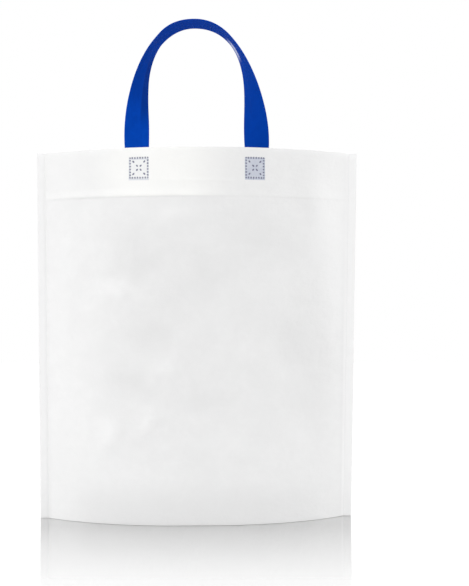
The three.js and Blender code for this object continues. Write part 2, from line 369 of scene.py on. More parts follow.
def mouth_points(side, across, layer, fold):
    """The turn from the hem over the mouth to the outer panel."""
    x, bulge = plan_at(across, MOUTH_FOLD)
    middle = bulge + layer + drape(side, across, MOUTH_FOLD)
    return [
        (x, middle - fold * math.cos(turn), MOUTH_FOLD + fold * math.sin(turn))
        for turn in np.linspace(0, math.pi, MOUTH_STEPS + 1)[1:-1]
    ]


def panel_points(side, across, layer):
    points = []
    for height in reversed(PANEL_HEIGHTS):
        x, bulge = plan_at(across, height)
        relief = drape(side, across, height) + panel_relief(side, across, height)
        points.append((x, bulge + layer + relief, height))
    return points


def gusset_points(across, layer, fold):
    """The turn under the panel, and half of the gusset, which slopes up to its middle crease."""
    x, bulge = plan_at(across, 0.0)
    slope = math.acos(min(max(bulge / (GUSSET / 2), 0.0), 1.0))
    points = []
    for turn in np.linspace(0, math.pi / 2 + slope, BASE_STEPS + 1)[1:]:
        out = bulge + layer + fold * math.cos(turn)
        points.append((x, out, BASE_FOLD - fold * math.sin(turn)))
    _, foot_out, foot_height = points[-1]
    run = foot_out - fold
    crease = foot_height + math.sqrt(max(0.0, (GUSSET / 2 + FOLD) ** 2 - run**2))
    for share in np.linspace(0, 1, GUSSET_STEPS + 1)[1:]:
        points.append((x, lerp(foot_out, fold, share), lerp(foot_height, crease, share)))
    bend = max(slope, LEAST_BEND)
    radius = fold / math.sin(bend)
    for turn in (bend * 0.6, bend * 0.2):
        rise = radius * (math.cos(turn) - math.cos(bend))
        points.append((x, radius * math.sin(turn), crease + rise))
    return points


def half_column(side, across):
    """Half of the web's section at one column, from the hem's edge to the middle of the gusset."""
    press = squeeze(across)
    hem, panel, fold = HEM_LAYER * press, PANEL_LAYER * press, FOLD * press
    between = (hem + panel) / 2
    points = hem_points(side, across, hem) + mouth_points(side, across, between, fold)
    points += panel_points(side, across, panel) + gusset_points(across, between, fold)
    return [(x, side * out, height) for x, out, height in points]


def running_length(points):
    """The length of a line of points up to each of them."""
    steps = np.linalg.norm(np.diff(points, axis=0), axis=1)
    return np.concatenate([[0.0], np.cumsum(steps)])


def web_grid():
    """The whole web as [column][place], and how far along the web each place lies."""
    columns, alongs = [], []
    for across in COLUMNS:
        front = half_column(FRONT, across)
        column = np.array(front + half_column(BACK, across)[::-1])
        run = running_length(column)
        middle = (run[len(front) - 1] + run[len(front)]) / 2
        columns.append([turned(*point) for point in column])
        alongs.append(middle - run)
    return np.array(columns), np.array(alongs)


# ---- Meshes ----
def grid_normals(grid):
    normal = np.cross(np.gradient(grid, axis=0), np.gradient(grid, axis=1))
    return normal / np.maximum(np.linalg.norm(normal, axis=2, keepdims=True), 1e-12)


def grid_quads(rows, columns, start, flip):
    index = np.arange(rows * columns).reshape(rows, columns) + start
    quads = np.stack([index[:-1, :-1], index[1:, :-1], index[1:, 1:], index[:-1, 1:]], axis=-1)
    quads = quads.reshape(-1, 4)
    return quads[:, ::-1] if flip else quads


def outline_of(rows, columns):
    """The places round the edge of a grid, in order."""
    index = np.arange(rows * columns).reshape(rows, columns)
    return np.concatenate([index[:-1, 0], index[-1, :-1], index[:0:-1, -1], index[0, :0:-1]])


def signed_volume(points, faces):
    a, b, c, d = (points[faces[:, i]] for i in range(4))
    return np.einsum("ij,ij->i", a, np.cross(b, c) + np.cross(c, d)).sum() / 6


def closed_sheet(name, grid, upper, lower, chart, hollow=None):
    """A closed mesh from a grid of points, its thickness on each side and a chart for its map."""
    rows, columns = grid.shape[:2]
    normal = grid_normals(grid)
    upper_points = grid + normal * upper[..., None]
    lower_points = grid - normal * lower[..., None]
    points = np.concatenate([upper_points.reshape(-1, 3), lower_points.reshape(-1, 3)])
    count = rows * columns
    rim = outline_of(rows, columns)
    following = np.roll(rim, -1)
    wall = np.stack([rim, rim + count, following + count, following], axis=1)
    faces = np.concatenate(
        [grid_quads(rows, columns, 0, False), grid_quads(rows, columns, count, True), wall[:, ::-1]]
    )
    if signed_volume(points, faces) < 0:
        faces = faces[:, ::-1]
    mesh = bpy.data.meshes.new(name)
    mesh.from_pydata(points.tolist(), [], faces.tolist())
    flat = np.tile(chart.reshape(-1, 2), (2, 1))
    corners = np.zeros(len(mesh.loops), dtype=np.int32)
    mesh.loops.foreach_get("vertex_index", corners)
    uv = mesh.uv_layers.new(name="cloth")
    uv.data.foreach_set("uv", flat[corners].astype(np.float32).ravel())
    if hollow is not None:
        shade = mesh.attributes.new("hollow", "FLOAT", "POINT")
        shade.data.foreach_set("value", np.tile(hollow.ravel(), 2).astype(np.float32))
    mesh.shade_smooth()
    mesh.set_sharp_from_angle(angle=math.radians(50))
    mesh.update()
    return mesh


def in_scene(name, data):
    thing = bpy.data.objects.new(name, data)
    bpy.context.scene.collection.objects.link(thing)
    return thing


def piece_of(name, mesh, material):
    piece = in_scene(name, mesh)
    mesh.materials.append(material)
    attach(piece, "root")
    return piece


def hollow_at(across, along):
    """How deep the front panel is dented: 1 in the deepest dent, below 0 where it swells."""
    on_front = BASE_ALONG < along < MOUTH_ALONG
    return -dents(across, along - BASE_ALONG) / DEEPEST_DENT if on_front else 0.0


def web_mesh(name):
    """The body's mesh, and the length of its web."""
    grid, alongs = web_grid()
    across = np.array(COLUMNS)[:, None].repeat(grid.shape[1], 1)
    chart = np.stack([across, alongs], axis=-1)
    hollow = np.array([[hollow_at(*place) for place in column] for column in chart])
    half_cloth = np.full(grid.shape[:2], CLOTH / 2)
    middle = alongs[len(COLUMNS) // 2]
    mesh = closed_sheet(name, grid, half_cloth, half_cloth, chart, hollow)
    return mesh, float(middle.max() - middle.min())


# ---- Shape of the handles ----
# Places across the strap, closer together where its edges round off and where its flap ends
PLACES = gathered(
    both_ways([HANDLE_HALF - inset for inset in (0.0, 0.00012, 0.0004, EDGE_ROUNDING, 0.0018)]),
    np.linspace(-0.011, 0.011, 9),
    np.linspace(FLAP_PLACE, FLAP_PLACE + FLAP_SOFT, 3),
)
UP = Vector((0, 0, 1))
BACKWARDS = Vector((0, 1, 0))


def strap_upper(place):
    """Half the thickness on the smooth side."""
    rounding = min((HANDLE_HALF - abs(place)) / EDGE_ROUNDING, 1.0)
    return HANDLE_THICKNESS / 2 * math.sqrt(max(1 - (1 - rounding) ** 2, 0.0)) + 0.00001


def strap_lower(place):
    """Half the thickness on the side where the folded flap ends."""
    flap = smooth((place - FLAP_PLACE) / FLAP_SOFT) * smooth((HANDLE_HALF - place) / FLAP_SOFT)
    return strap_upper(place) - FLAP_THICKNESS * flap


def tucked_rows(side):
    """The left end of a strap, behind the hem up to the mouth."""
    rows = []
    for height in np.linspace(BAG_HEIGHT - HANDLE_TUCK, BAG_HEIGHT, TUCK_STEPS + 1):
        row = []
        for place in PLACES:
            across = place - HANDLE_SPREAD / 2
            x, bulge = plan_at(across, height)
            out = side * (bulge + HANDLE_LAYER + drape(side, across, height))
            row.append(Vector((x, out, height)))
        rows.append(row)
    return rows


def over_of(row):
    """The direction across the strap."""
    return (row[-1] - row[0]).normalized()


def over_mouth_rows(last_row):
    """The rear strap's turn over the mouth, before it hangs down."""
    outwards = UP.cross(over_of(last_row))
    rows = []
    for turn in np.linspace(0, math.pi, OVER_STEPS + 1)[1:]:
        out, rise = OVER_MOUTH * (1 - math.cos(turn)), OVER_MOUTH * math.sin(turn)
        rows.append([point + outwards * out + UP * rise for point in last_row])
    return rows


def bezier_points(corners, count):
    """Points of a cubic curve at equal distances, the tangent at each, and the curve's length."""
    t = np.linspace(0, 1, CURVE_STEPS + 1)[:, None]
    s = 1 - t
    a, b, c, d = (np.array(corner) for corner in corners)
    curve = s**3 * a + 3 * s**2 * t * b + 3 * s * t**2 * c + t**3 * d
    slope = 3 * s**2 * (b - a) + 6 * s * t * (c - b) + 3 * t**2 * (d - c)
    run = running_length(curve)
    steps = np.arange(len(run))
    at = np.interp(np.linspace(0, run[-1], count + 1)[1:], run, steps)
    points, tangents = (
        np.stack([np.interp(at, steps, values[:, i]) for i in range(3)], axis=1)
        for values in (curve, slope)
    )
    return points, tangents / np.linalg.norm(tangents, axis=1, keepdims=True), run[-1]


def crease_lift(place, depth):
    """How far the strap's inner part bends back past its soft crease."""
    past = place - CREASE_PLACE
    return depth * (past + math.sqrt(past * past + CREASE_SOFT**2)) / 2


def not_pushed(share, edge_on):
    return 0.0


def loop_rows(last_row, reach, twist, crease=0.0, push_out=not_pushed):
    """From the top of a leg to the crown; the strap turns edge on along the leg."""
    start = (last_row[0] + last_row[-1]) / 2
    crown = Vector((0, start.y, start.z + reach))
    corners = (
        start,
        start + UP * (reach * LEG_STRAIGHTNESS),
        crown + Vector((start.x * CROWN_FLATNESS, 0, 0)),
        crown,
    )
    points, tangents, length = bezier_points(corners, LOOP_STEPS)
    first = over_of(last_row)
    first_turn = math.atan2(first.y, first.x)
    twist_length, easing, shoulder_turn = twist
    rows = []
    for i, (point, tangent) in enumerate(zip(points, tangents)):
        share = (i + 1) / LOOP_STEPS
        twisted = min(1.0, share * length / twist_length)
        turn = lerp(first_turn, shoulder_turn, 1 - (1 - twisted) ** easing)
        turn += (CROWN_TURN - shoulder_turn) * smooth((share - CROWN_START) / (1 - CROWN_START))
        inwards = Vector(tangent).cross(BACKWARDS) * -math.copysign(1, reach)
        over = inwards * math.cos(turn) + BACKWARDS * math.sin(turn)
        edge_on = math.sin(turn) - math.sin(first_turn)
        middle = Vector(point) + BACKWARDS * push_out(share, edge_on)
        cup = CROWN_CUP * math.sin(math.pi * share) ** 2
        depth = crease * smooth((share - CREASE_START) / CREASE_GROWTH)
        depth *= 1 - smooth((share - CREASE_END) / CREASE_FADE)
        off_face = Vector(tangent).cross(over)
        row = []
        for place in PLACES:
            lift = cup * (1 - (2 * place / HANDLE_WIDTH) ** 2) + crease_lift(place, depth)
            row.append(middle + over * place + off_face * lift)
        rows.append(row)
    return rows


def both_halves(half_with):
    """A whole strap: its left half, and its right half made as a left one and mirrored."""
    right = half_with(RIGHT_TWIST, RIGHT_CREASE)[:-1]
    mirrored = [[Vector((-p.x, p.y, p.z)) for p in row] for row in right][::-1]
    return half_with(LEFT_TWIST, LEFT_CREASE) + mirrored


def front_rows():
    tucked = tucked_rows(FRONT)

    def half(twist, crease):
        return tucked + loop_rows(tucked[-1], HANDLE_RISE, twist, crease)

    rows = both_halves(half)
    for row in rows:
        for point in row:
            point.x -= HANDLE_LEAN * max(0.0, point.z - BAG_HEIGHT) / HANDLE_RISE
    return rows


def rear_rows():
    tucked = tucked_rows(BACK)
    over = over_mouth_rows(tucked[-1])
    last = over[-1]
    drop = HANDLE_RISE - math.pi * OVER_MOUTH
    _, bulge = plan_at(0.0, BAG_HEIGHT - drop)
    settle = bulge + PANEL_LAYER + CLOTH / 2 + CLEARANCE - last[0].y

    def push_out(share, edge_on):
        return math.sin(share * math.pi / 2) * settle + edge_on * HANDLE_HALF

    def half(twist, _crease):
        return tucked + over + loop_rows(last, -drop, twist, push_out=push_out)

    return both_halves(half)


def strap_mesh(name, rows):
    """A strap's mesh, and the strap's length."""
    grid = np.array([[turned(*point) for point in row] for row in rows])
    along = running_length(grid.mean(axis=1))
    chart = np.stack(np.broadcast_arrays(np.array(PLACES)[None, :], along[:, None]), axis=-1)
    upper, lower = (
        np.array([half(place) for place in PLACES])[None, :].repeat(len(rows), 0)
        for half in (strap_upper, strap_lower)
    )
    return closed_sheet(name, grid, upper, lower, chart), float(along[-1])


# ---- Nodes ----
# ShaderNodeMix names its colour sockets as it names its others, so they are taken by number
MIX_SHARE, MIX_FIRST, MIX_SECOND, MIX_RESULT = 0, 6, 7, 2


def add_node(tree, kind, inputs=None, **settings):
    """A new node; each of its inputs is given a value, or the socket that feeds it."""
    node = tree.nodes.new(kind)
    for key, value in settings.items():
        setattr(node, key, value)
    for key, value in (inputs or {}).items():
        if isinstance(value, bpy.types.NodeSocket):
            tree.links.new(value, node.inputs[key])
        else:
            node.inputs[key].default_value = value
    return node


def grey(level):
    return (level, level, level, 1)


class Finish:
    """A material with one shader, and short ways to add the nodes of its pattern."""

    def __init__(self, name, roughness, **constants):
        self.material = bpy.data.materials.new(name)
        self.material.use_nodes = True
        self.tree = self.material.node_tree
        self.add = partial(add_node, self.tree)
        self.shader = self.tree.nodes["Principled BSDF"]
        self.shader.inputs["Roughness"].default_value = roughness
        for socket, value in constants.items():
            self.shader.inputs[socket.replace("_", " ")].default_value = value

    def drive(self, socket, value):
        self.tree.links.new(value, self.shader.inputs[socket])

    def math(self, operation, first, second=0.0):
        return self.add("ShaderNodeMath", {0: first, 1: second}, operation=operation).outputs[0]

    def times(self, first, *others):
        for other in others:
            first = self.math("MULTIPLY", first, other)
        return first

    def less(self, first, second):
        return self.math("SUBTRACT", first, second)

    def size(self, value):
        return self.math("ABSOLUTE", value)

    def ramp(self, value, low, high, to_low=0.0, to_high=1.0):
        inputs = {"Value": value, "From Min": low, "From Max": high}
        inputs |= {"To Min": to_low, "To Max": to_high}
        node = self.add("ShaderNodeMapRange", inputs, interpolation_type="SMOOTHSTEP")
        return node.outputs["Result"]

    def stretch(self, along, start, end, soft, most=1.0):
        """`most` between the two places along the cloth, with soft ends."""
        rise = self.ramp(along, start, start + soft, 0.0, most)
        return self.times(rise, self.ramp(along, end - soft, end, 1.0, 0.0))

    def mix(self, share, first, second):
        inputs = {MIX_SHARE: share, MIX_FIRST: first, MIX_SECOND: second}
        return self.add("ShaderNodeMix", inputs, data_type="RGBA").outputs[MIX_RESULT]

    def placed(self, source, scale, turn=0.0):
        inputs = {"Vector": source, "Scale": scale, "Rotation": (0, 0, turn)}
        return self.add("ShaderNodeMapping", inputs).outputs["Vector"]

    def noise(self, source, scale, detail, roughness):
        inputs = {"Vector": source, "Scale": scale, "Detail": detail, "Roughness": roughness}
        return self.add("ShaderNodeTexNoise", inputs).outputs["Fac"]

    def relief(self, *layers):
        """Bumps the surface by each layer in turn: its pattern, its depth and its strength."""
        under = {}
        for pattern, depth, strength in layers:
            inputs = {"Height": pattern, "Distance": depth, "Strength": strength, **under}
            under = {"Normal": self.add("ShaderNodeBump", inputs).outputs["Normal"]}
        self.drive("Normal", under["Normal"])


# ---- Materials ----
# Spunbond cloth: the pitch of its bond points, how far a point reaches in it, and its threads
BOND_PITCH = 0.00125
BOND_CORE, BOND_RIM = 0.22, 0.34
FIBRE_SPACING = 0.00045
FIBRE_LENGTHENING = 0.12
FIBRE_DIRECTIONS = (0.35, 1.35, 2.45)

DULL_WHITE, CLEAR_WHITE = grey(0.794), grey(0.809)
CLOUDED_WHITE = grey(0.765)
# Painted shade for the dents and painted light for the swellings
DENT_SHADE_WHITE, SWELLING_LIGHT_WHITE = grey(0.70), grey(0.86)
# Painted light on the doubled hem
HEM_LIGHT_WHITE = (0.905, 0.905, 0.888, 1)
# Painted light up the right side of the front panel
RIGHT_LIGHT_WHITE = grey(0.88)
BOND_WHITE = (0.70, 0.705, 0.72, 1)
FIBRE_WHITE = grey(0.90)
# Painted shade towards the base fold, and the grey of a band along the fold
BASE_SHADE_WHITE = grey(0.70)
FOLD_GREY = (0.55, 0.55, 0.545, 1)
STRAP_SHOWING = (0.40, 0.44, 0.56, 1)

# The margin on each side: its white, and where it starts
MARGINS = ((LEFT, grey(0.87), SEAM - 0.0015), (RIGHT, grey(0.89), SEAM - 0.006))
MARGIN_SOFT = 0.005

# The welds on each side: how far the strap shows through, inside a weld and along its outline
WELD_TINTS = ((LEFT, 0.12, 0.42), (RIGHT, 0.62, 0.72))

DULL_BLUE, CLEAR_BLUE = (0.0005, 0.050, 0.388, 1), (0.0008, 0.056, 0.430, 1)
STREAKED_BLUE = (0.004, 0.072, 0.46, 1)
BOND_BLUE = (0.0006, 0.036, 0.28, 1)
FIBRE_BLUE = (0.006, 0.085, 0.52, 1)
RUBBED_BLUE = (0.01, 0.10, 0.55, 1)
LEG_SHADE_BLUE = (0.0004, 0.020, 0.155, 1)
LOOP_SHADE_BLUE = (0.0004, 0.022, 0.20, 1)
# Painted highlight for the strip across the crown's right shoulder
PAINTED_HIGHLIGHT_BLUE = (0.60, 0.70, 0.88, 1)

# Stretches along the strap: painted shade on the inner part of the left leg, painted shade over
# the loop, and a strip across the crown's right shoulder with a painted highlight and a glossy coat
LEG_SHADE_START, LEG_SHADE_END = 0.058, 0.165
LOOP_SHADE_START, LOOP_SHADE_END = 0.080, 0.410
GLOSS_START, GLOSS_END = 0.248, 0.284
GLOSS_INNER, GLOSS_OUTER = 0.0030, 0.0128


class Cloth(Finish):
    """A finish of spunbond cloth, laid out in metres on the piece's own UV map."""

    def __init__(self, name, roughness, **constants):
        super().__init__(name, roughness, **constants)
        self.chart = self.add("ShaderNodeUVMap", uv_map="cloth").outputs["UV"]
        place = self.add("ShaderNodeSeparateXYZ", {"Vector": self.chart}).outputs
        self.across, self.along = place["X"], place["Y"]
        self.bonds, self.fibres = self.bond_points(), self.laid_fibres()

    def bond_points(self):
        """The staggered points at which the fibres are melted together: 1 on a point."""
        lattice = self.placed(self.chart, (1 / BOND_PITCH, 1 / BOND_PITCH, 1), math.radians(45))
        inputs = {"Vector": lattice, "Scale": 1.0, "Randomness": 0.0}
        cells = self.add("ShaderNodeTexVoronoi", inputs, voronoi_dimensions="2D")
        return self.ramp(cells.outputs["Distance"], BOND_CORE, BOND_RIM, 1.0, 0.0)

    def laid_fibres(self):
        """Fine threads laid in three directions."""
        scale = (1 / FIBRE_SPACING, FIBRE_LENGTHENING / FIBRE_SPACING, 1)
        first, second, third = (
            self.noise(self.placed(self.chart, scale, turn), 1.0, 3.0, 0.65)
            for turn in FIBRE_DIRECTIONS
        )
        return self.math("MAXIMUM", self.math("MAXIMUM", first, second), third)

    def dulled(self, clouds, dull, clear, bonds_gloss):
        """Roughness that varies with the clouds; the bond points are glossier."""
        rough = self.ramp(clouds, 0.2, 0.8, dull, clear)
        self.drive("Roughness", self.less(rough, self.times(self.bonds, bonds_gloss)))


def painted_dent_shading(cloth, tone):
    """Painted shade in the dents and painted light on the swellings."""
    hollow = cloth.add("ShaderNodeAttribute", attribute_name="hollow").outputs["Fac"]
    # Painted shade in the dents, then painted light on the swellings
    tone = cloth.mix(cloth.ramp(hollow, 0.0, 0.9, 0.0, 0.46), tone, DENT_SHADE_WHITE)
    return cloth.mix(cloth.ramp(hollow, -0.75, 0.0, 0.50, 0.0), tone, SWELLING_LIGHT_WHITE)


def edge_light_and_tone(cloth, tone, far_along, patches):
    """Painted light on the doubled hem, strongest just left of the middle, and up the right side;
    whiter in the side margins.
    """
    hem_along = MOUTH_ALONG - HEM
    middle = cloth.times(
        cloth.ramp(cloth.across, -0.13, -0.07, 0.12, 1.0),
        cloth.ramp(cloth.across, -0.020, 0.055, 1.0, 0.08),
    )
    doubled = cloth.ramp(far_along, hem_along - 0.0004, hem_along + 0.0012)
    # Painted light on the doubled hem, strongest just left of the middle
    hem = cloth.times(doubled, middle, cloth.ramp(patches, 0.2, 0.7, 0.75, 1.0))
    tone = cloth.mix(hem, tone, HEM_LIGHT_WHITE)
    # Painted light up the right side, above the lower part
    right_light = cloth.ramp(cloth.across, 0.130, 0.170, 0.0, 0.50)
    right_light = cloth.times(right_light, cloth.ramp(far_along, 0.24, 0.32))
    tone = cloth.mix(right_light, tone, RIGHT_LIGHT_WHITE)
    for edge, white, start in MARGINS:
        outwards = cloth.times(cloth.across, edge)
        margin = cloth.ramp(outwards, start, start + MARGIN_SOFT, 0.0, 0.85)
        tone = cloth.mix(margin, tone, white)
    return tone


def weld_tone(cloth, tone, far_along, clouds):
    """The blue strap shows through each weld, most along the weld's outline."""
    for edge, inside, outline in WELD_TINTS:
        off_side = cloth.size(cloth.less(cloth.across, edge * WELD_MIDDLE))
        off_level = cloth.size(cloth.less(far_along, MOUTH_ALONG - WELD_DROP))
        off_side = cloth.less(off_side, WELD_WIDTH / 2)
        off_level = cloth.less(off_level, WELD_HEIGHT / 2)
        off = cloth.math("MAXIMUM", off_side, off_level)
        filled = cloth.ramp(off, 0.0, 0.0010, inside, 0.0)
        filled = cloth.times(filled, cloth.ramp(clouds, 0.3, 0.6, 0.8, 1.1))
        outlined = cloth.ramp(cloth.size(off), 0.0006, 0.0015, outline, 0.0)
        tone = cloth.mix(cloth.math("MAXIMUM", filled, outlined), tone, STRAP_SHOWING)
    return tone


def base_shade_tone(cloth, tone, far_along, patches):
    """Painted shade towards the base fold, most in the middle, and a little darker along the fold.
    """
    from_fold = cloth.size(cloth.less(far_along, BASE_ALONG))
    # Painted shade towards the base fold, most in the middle
    low = cloth.ramp(from_fold, 0.018, 0.056, 0.58, 0.0)
    low = cloth.times(low, cloth.ramp(cloth.size(cloth.across), 0.11, 0.165, 1.0, 0.25))
    tone = cloth.mix(low, tone, BASE_SHADE_WHITE)
    # A little darker along the base fold
    fold_darkening = cloth.times(cloth.ramp(from_fold, 0.0, 0.004, 0.35, 0.0), patches)
    return cloth.mix(fold_darkening, tone, FOLD_GREY)


def white_cloth():
    """White spunbond cloth: cloudy fibres, bond points, and the strap showing through the welds."""
    cloth = Cloth("white_spunbond", 0.72, Specular_IOR_Level=0.20)
    far_along = cloth.size(cloth.along)
    clouds = cloth.noise(cloth.chart, 95.0, 5.0, 0.6)
    patches = cloth.noise(cloth.chart, 15.0, 3.0, 0.55)
    mottle = cloth.noise(cloth.chart, 52.0, 4.0, 0.6)
    crumple = cloth.noise(cloth.chart, 210.0, 4.0, 0.62)
    tone = cloth.mix(cloth.ramp(clouds, 0.3, 0.7), DULL_WHITE, CLEAR_WHITE)
    tone = cloth.mix(cloth.ramp(patches, 0.36, 0.64, 0.0, 0.50), tone, CLOUDED_WHITE)
    tone = cloth.mix(cloth.ramp(mottle, 0.38, 0.66, 0.0, 0.36), tone, CLOUDED_WHITE)
    tone = painted_dent_shading(cloth, tone)
    tone = edge_light_and_tone(cloth, tone, far_along, patches)
    tone = cloth.mix(cloth.times(cloth.bonds, 0.12), tone, BOND_WHITE)
    tone = cloth.mix(cloth.ramp(cloth.fibres, 0.55, 0.85, 0.0, 0.18), tone, FIBRE_WHITE)
    tone = weld_tone(cloth, tone, far_along, clouds)
    tone = base_shade_tone(cloth, tone, far_along, patches)
    cloth.drive("Base Color", tone)
    cloth.dulled(clouds, 0.70, 0.80, 0.22)
    cloth.relief(
        (mottle, 0.0009, 0.8),
        (crumple, 0.00008, 0.7),
        (cloth.fibres, 0.00004, 0.7),
        (cloth.bonds, -0.00006, 0.8),
    )
    return cloth.material


def blue_cloth():
    """Blue spunbond strap, pressed flat: streaks, bond points, rubbed edges, painted shade on a leg
    and on the loop, and a glossy strip with a painted highlight.
    """
    constants = {"Specular_IOR_Level": 0.02, "Coat_Roughness": 0.20, "Coat_IOR": 2.2}
    cloth = Cloth("blue_spunbond", 0.70, **constants)
    across, along = cloth.across, cloth.along
    clouds = cloth.noise(cloth.chart, 120.0, 5.0, 0.62)
    streaks = cloth.noise(cloth.placed(cloth.chart, (520.0, 14.0, 1.0)), 1.0, 3.0, 0.55)
    tone = cloth.mix(cloth.ramp(clouds, 0.3, 0.7), DULL_BLUE, CLEAR_BLUE)
    tone = cloth.mix(cloth.ramp(streaks, 0.50, 0.75, 0.0, 0.22), tone, STREAKED_BLUE)
    tone = cloth.mix(cloth.times(cloth.bonds, 0.25), tone, BOND_BLUE)
    tone = cloth.mix(cloth.ramp(cloth.fibres, 0.58, 0.86, 0.0, 0.15), tone, FIBRE_BLUE)
    from_edge = cloth.less(HANDLE_HALF, cloth.size(across))
    rubbed = cloth.times(cloth.ramp(from_edge, 0.0, 0.0011, 0.4, 0.0), clouds)
    tone = cloth.mix(rubbed, tone, RUBBED_BLUE)
    # Painted shade on the inner part of the left leg, past its crease
    doubled = cloth.ramp(across, CREASE_PLACE - 0.0010, CREASE_PLACE + 0.0010)
    deep = cloth.times(doubled, cloth.stretch(along, LEG_SHADE_START, LEG_SHADE_END, 0.030, 0.55))
    tone = cloth.mix(deep, tone, LEG_SHADE_BLUE)
    # Painted shade over the upper legs and the crown
    loop_shade = cloth.stretch(along, LOOP_SHADE_START, LOOP_SHADE_END, 0.030, 0.36)
    tone = cloth.mix(loop_shade, tone, LOOP_SHADE_BLUE)
    # The strip across the crown's right shoulder: a painted highlight in its colour, and a coat
    # that glosses it at a glance
    inner_strip = cloth.stretch(across, GLOSS_INNER, GLOSS_OUTER, 0.0020)
    shoulder = cloth.stretch(along, GLOSS_START, GLOSS_END, 0.015)
    pressed = cloth.times(inner_strip, shoulder, cloth.ramp(streaks, 0.35, 0.60, 0.60, 1.0))
    cloth.drive("Base Color", cloth.mix(cloth.times(pressed, 0.22), tone, PAINTED_HIGHLIGHT_BLUE))
    glance = cloth.add("ShaderNodeLayerWeight", {"Blend": 0.5}).outputs["Facing"]
    glancing = cloth.ramp(glance, 0.35, 0.70, 0.10, 1.0)
    cloth.drive("Coat Weight", cloth.times(pressed, glancing))
    cloth.dulled(clouds, 0.66, 0.76, 0.12)
    cloth.relief(
        (streaks, 0.00010, 0.7), (cloth.fibres, 0.00005, 0.7), (cloth.bonds, -0.00007, 0.8)
    )
    return cloth.material


def melted_film(name, dark, light, roughness):
    """Cloth melted to a film, uneven in tone and in gloss. It has no map, so its place serves."""
    film = Finish(name, roughness, Specular_IOR_Level=0.5)
    place = film.add("ShaderNodeTexCoord").outputs["Object"]
    uneven = film.noise(place, 900.0, 3.0, 0.6)
    film.drive("Base Color", film.mix(film.ramp(uneven, 0.3, 0.7), dark, light))
    film.drive("Roughness", film.ramp(uneven, 0.2, 0.8, roughness - 0.08, roughness + 0.12))
    film.relief((uneven, 0.00005, 0.6))
    return film.material


# ---- Pressed marks ----
# A mark's rim, the width and depth of its dish, and the width of the dish's floor, as shares
MARK_CORNERS = 12
DISH_WIDTH = 0.74
DISH_DEPTH = 0.3
DISH_FLOOR = 0.8


def marks_tree():
    """One dished mark, set on each point of the input and turned by the point's own angles."""
    tree = bpy.data.node_groups.new("pressed_marks", "GeometryNodeTree")
    kinds = {
        "Places": "Geometry",
        "Mark length": "Float",
        "Mark width": "Float",
        "Mark rise": "Float",
        "Unevenness": "Float",
        "Seed": "Int",
        "Finish": "Material",
        "Marks": "Geometry",
    }
    for name, kind in kinds.items():
        way = "OUTPUT" if name == "Marks" else "INPUT"
        tree.interface.new_socket(name=name, in_out=way, socket_type="NodeSocket" + kind)
    add = partial(add_node, tree)

    def pushed_in(mesh, faces, depth):
        inputs = {"Mesh": mesh, "Selection": faces, "Offset Scale": -depth, "Individual": False}
        return add("GeometryNodeExtrudeMesh", inputs, mode="FACES").outputs

    def narrowed(mesh, faces, scale):
        inputs = {"Geometry": mesh, "Selection": faces, "Scale": scale}
        return add("GeometryNodeScaleElements", inputs, domain="FACE").outputs["Geometry"]

    given = add("NodeGroupInput").outputs
    inputs = {"Vertices": MARK_CORNERS, "Radius": 0.5, "Depth": 1.0}
    disc = add("GeometryNodeMeshCylinder", inputs, fill_type="NGON").outputs
    inset = pushed_in(disc["Mesh"], disc["Top"], 0.0)
    rimmed = narrowed(inset["Mesh"], inset["Top"], DISH_WIDTH)
    dished = pushed_in(rimmed, inset["Top"], DISH_DEPTH)
    mark = narrowed(dished["Mesh"], dished["Top"], DISH_FLOOR)

    inputs = {"X": given["Mark length"], "Y": given["Mark width"], "Z": given["Mark rise"]}
    size = add("ShaderNodeCombineXYZ", inputs).outputs[0]
    least = add("ShaderNodeMath", {0: 1.0, 1: given["Unevenness"]}, operation="SUBTRACT")
    most = add("ShaderNodeMath", {0: 1.0, 1: given["Unevenness"]}, operation="ADD")
    inputs = {"Min": least.outputs[0], "Max": most.outputs[0], "Seed": given["Seed"]}
    uneven = add("FunctionNodeRandomValue", inputs, data_type="FLOAT_VECTOR").outputs["Value"]
    scale = add("ShaderNodeVectorMath", {0: size, 1: uneven}, operation="MULTIPLY").outputs[0]
    turn = add("GeometryNodeInputNamedAttribute", {"Name": "turn"}, data_type="FLOAT_VECTOR")
    rotation = add("FunctionNodeEulerToRotation", {"Euler": turn.outputs["Attribute"]}).outputs[0]
    inputs = {"Points": given["Places"], "Instance": mark, "Rotation": rotation, "Scale": scale}
    placed = add("GeometryNodeInstanceOnPoints", inputs).outputs[0]
    real = add("GeometryNodeRealizeInstances", {"Geometry": placed}).outputs[0]
    inputs = {"Geometry": real, "Material": given["Finish"]}
    finished = add("GeometryNodeSetMaterial", inputs).outputs[0]
    add("NodeGroupOutput", {"Marks": finished})
    return tree


def pressed_marks(name, tree, places, sizes, seed, material):
    """A piece of marks from the places, each as (point, angles)."""
    mesh = bpy.data.meshes.new(name)
    mesh.from_pydata([point for point, _ in places], [], [])
    turn = mesh.attributes.new("turn", "FLOAT_VECTOR", "POINT")
    turn.data.foreach_set("vector", [angle for _, angles in places for angle in angles])
    piece = in_scene(name, mesh)
    modifier = piece.modifiers.new("marks", "NODES")
    modifier.node_group = tree
    values = dict(zip(("Mark length", "Mark width", "Mark rise"), sizes))
    values |= {"Unevenness": MARK_UNEVENNESS, "Seed": seed, "Finish": material}
    for item in tree.interface.items_tree:
        if item.in_out == "INPUT" and item.name in values:
            modifier[item.identifier] = values[item.name]
    evaluated = piece.evaluated_get(bpy.context.evaluated_depsgraph_get())
    made = bpy.data.meshes.new_from_object(evaluated)
    piece.modifiers.clear()
    piece.data = made
    made.name = name
    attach(piece, "root")
    return piece


